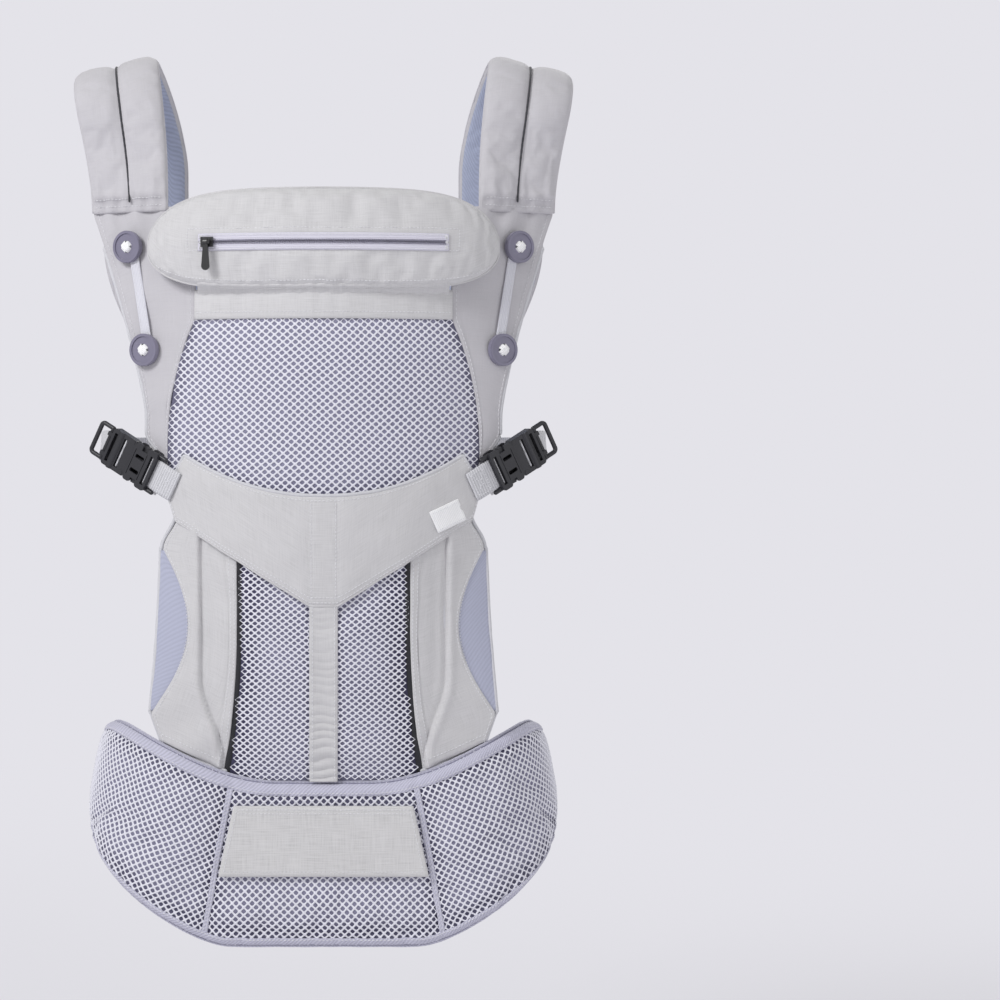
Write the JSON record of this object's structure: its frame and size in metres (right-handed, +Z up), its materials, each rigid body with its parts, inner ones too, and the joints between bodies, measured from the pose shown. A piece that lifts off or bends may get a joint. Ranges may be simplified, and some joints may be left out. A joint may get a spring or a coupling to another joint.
{
  "type": "soft baby carrier",
  "caption": "Soft structured baby carrier: padded waistband, mesh and fabric body panel, fold-down headrest with zip pocket, padded shoulder straps, side-release buckles.",
  "frame": {"origin": "centre of the front face of the pouch patch on the waistband", "axes": "+Z up as worn, -Y out of the carrier's front, the wearer stands at +Y, +X to the right of someone facing the front"},
  "size_m": [0.4438, 0.2437, 0.7782],
  "materials": {
    "grey_fabric": "matt light grey plain weave with fine slubs",
    "mesh_fabric": "spacer mesh, pale lavender threads round diamond holes",
    "insert_fabric": "smooth pale blue lavender knit",
    "liner_fabric": "grey blue diagonal ribbed knit",
    "webbing": "ribbed polyester webbing",
    "black_plastic": "moulded, fine grain",
    "zip_metal": "black enamel",
    "button_plastic": "semi gloss grey purple",
    "white_tape": "white woven tape",
    "zip_tape": "lavender white zip tape with a nylon coil",
    "black_binding": "black woven edging",
    "foam": "white open cell foam, hidden inside the covers"
  },
  "bodies": {
    "carrier": {"waist_foam": "foam", "waist_mesh_centre": "mesh_fabric", "waist_mesh_left": "mesh_fabric", "waist_mesh_right": "mesh_fabric", "waist_lining": "grey_fabric", "pouch_patch": "grey_fabric", "waist_webbing": "webbing", "waist_socket": "black_plastic", "lower_mesh": "mesh_fabric", "side_panel_left": "grey_fabric", "side_panel_right": "grey_fabric", "side_inserts": "insert_fabric", "edge_bindings": "black_binding", "seat_band": "grey_fabric", "centre_strip": "grey_fabric", "upper_mesh": "mesh_fabric", "top_band": "grey_fabric", "yoke_left": "grey_fabric", "yoke_right": "grey_fabric", "panel_lining": "grey_fabric", "label_tag": "white_tape", "button_tapes": "white_tape", "buttons": "button_plastic", "side_tabs": "webbing", "buckle_pads": "grey_fabric", "side_socket_left": "black_plastic", "side_socket_right": "black_plastic"},
    "headrest": {"headrest_front": "grey_fabric", "headrest_back": "grey_fabric", "headrest_foam": "foam", "headrest_loops": "white_tape", "zip_tape": "zip_tape"},
    "zip_slider": {"zip_slider": "zip_metal"},
    "zip_pull": {"zip_pull": "zip_metal"},
    "harness": {"strap_cover_left": "grey_fabric", "strap_cover_right": "grey_fabric", "strap_foams": "foam", "strap_liners": "liner_fabric", "strap_pipings": "black_binding", "strap_webbings": "webbing"},
    "chest_strap": {"chest_glides": "black_plastic", "chest_webbing": "webbing", "chest_socket": "black_plastic"},
    "chest_plug": {"chest_plug": "black_plastic"},
    "chest_prong_upper": {"chest_prong_upper": "black_plastic"},
    "chest_prong_lower": {"chest_prong_lower": "black_plastic"},
    "waist_plug": {"waist_plug": "black_plastic"},
    "waist_prong_upper": {"waist_prong_upper": "black_plastic"},
    "waist_prong_lower": {"waist_prong_lower": "black_plastic"},
    "side_plug_left": {"side_plug_left": "black_plastic", "side_webbing_left": "webbing"},
    "side_prong_left_upper": {"side_prong_left_upper": "black_plastic"},
    "side_prong_left_lower": {"side_prong_left_lower": "black_plastic"},
    "finger_loop_left": {"finger_loop_left": "black_plastic"},
    "side_plug_right": {"side_plug_right": "black_plastic", "side_webbing_right": "webbing"},
    "side_prong_right_upper": {"side_prong_right_upper": "black_plastic"},
    "side_prong_right_lower": {"side_prong_right_lower": "black_plastic"},
    "finger_loop_right": {"finger_loop_right": "black_plastic"}
  },
  "joints": [
    {"name": "headrest_fold", "type": "hinge", "parent": "carrier", "child": "headrest", "pos_m": [0, -0.01355, 0.4708], "axis": [1, 0, 0], "range_deg": [0, 155]},
    {"name": "zip_travel", "type": "hinge", "parent": "headrest", "child": "zip_slider", "pos_m": [0, 0.29632, 0.51], "axis": [0, 0, 1], "range_deg": [0, 36]},
    {"name": "zip_pull_swing", "type": "hinge", "parent": "zip_slider", "child": "zip_pull", "pos_m": [-0.09978, -0.00915, 0.51], "axis": [-0.9506, 0.3105, 0], "range_deg": [0, 100]},
    {"name": "harness_swing", "type": "hinge", "parent": "carrier", "child": "harness", "pos_m": [0, 0.068, 0.54], "axis": [1, 0, 0], "range_deg": [-5, 18]},
    {"name": "chest_height", "type": "slide", "parent": "harness", "child": "chest_strap", "axis": [0, -0.0528, 0.9986], "range_m": [0, 0.04]},
    {"name": "chest_release", "type": "slide", "parent": "chest_strap", "child": "chest_plug", "axis": [-1, 0, 0], "range_m": [0, 0.02]},
    {"name": "chest_prong_upper_squeeze", "type": "hinge", "parent": "chest_plug", "child": "chest_prong_upper", "pos_m": [-0.0122, 0.21353, 0.5434], "axis": [0, 1, 0], "range_deg": [0, 6]},
    {"name": "chest_prong_lower_squeeze", "type": "hinge", "parent": "chest_plug", "child": "chest_prong_lower", "pos_m": [-0.0122, 0.21353, 0.5266], "axis": [0, -1, 0], "range_deg": [0, 6]},
    {"name": "waist_release", "type": "slide", "parent": "carrier", "child": "waist_plug", "axis": [-1, 0, 0], "range_m": [0, 0.03]},
    {"name": "waist_prong_upper_squeeze", "type": "hinge", "parent": "waist_plug", "child": "waist_prong_upper", "pos_m": [-0.01312, 0.2093, 0.0585], "axis": [0, 1, 0], "range_deg": [0, 6]},
    {"name": "waist_prong_lower_squeeze", "type": "hinge", "parent": "waist_plug", "child": "waist_prong_lower", "pos_m": [-0.01312, 0.2093, 0.0235], "axis": [0, -1, 0], "range_deg": [0, 6]},
    {"name": "side_release_right", "type": "slide", "parent": "carrier", "child": "side_plug_right", "axis": [0.7618, 0.4398, 0.4756], "range_m": [0, 0.025]},
    {"name": "side_prong_right_upper_squeeze", "type": "hinge", "parent": "side_plug_right", "child": "side_prong_right_upper", "pos_m": [0.16186, 0.03156, 0.33584], "axis": [0.5, -0.866, 0], "range_deg": [0, 6]},
    {"name": "side_prong_right_lower_squeeze", "type": "hinge", "parent": "side_plug_right", "child": "side_prong_right_lower", "pos_m": [0.17051, 0.03655, 0.31737], "axis": [-0.5, 0.866, 0], "range_deg": [0, 6]},
    {"name": "finger_loop_right_tilt", "type": "hinge", "parent": "side_plug_right", "child": "finger_loop_right", "pos_m": [0.18714, 0.04615, 0.33968], "axis": [-0.4119, -0.2378, 0.8796], "range_deg": [-25, 25]},
    {"name": "side_release_left", "type": "slide", "parent": "carrier", "child": "side_plug_left", "axis": [-0.7618, 0.4398, 0.4756], "range_m": [0, 0.025]},
    {"name": "side_prong_left_upper_squeeze", "type": "hinge", "parent": "side_plug_left", "child": "side_prong_left_upper", "pos_m": [-0.16186, 0.03156, 0.33584], "axis": [0.5, 0.866, 0], "range_deg": [0, 6]},
    {"name": "side_prong_left_lower_squeeze", "type": "hinge", "parent": "side_plug_left", "child": "side_prong_left_lower", "pos_m": [-0.17051, 0.03655, 0.31737], "axis": [-0.5, -0.866, 0], "range_deg": [0, 6]},
    {"name": "finger_loop_left_tilt", "type": "hinge", "parent": "side_plug_left", "child": "finger_loop_left", "pos_m": [-0.18714, 0.04615, 0.33968], "axis": [0.4119, -0.2378, 0.8796], "range_deg": [-25, 25]}
  ]
}
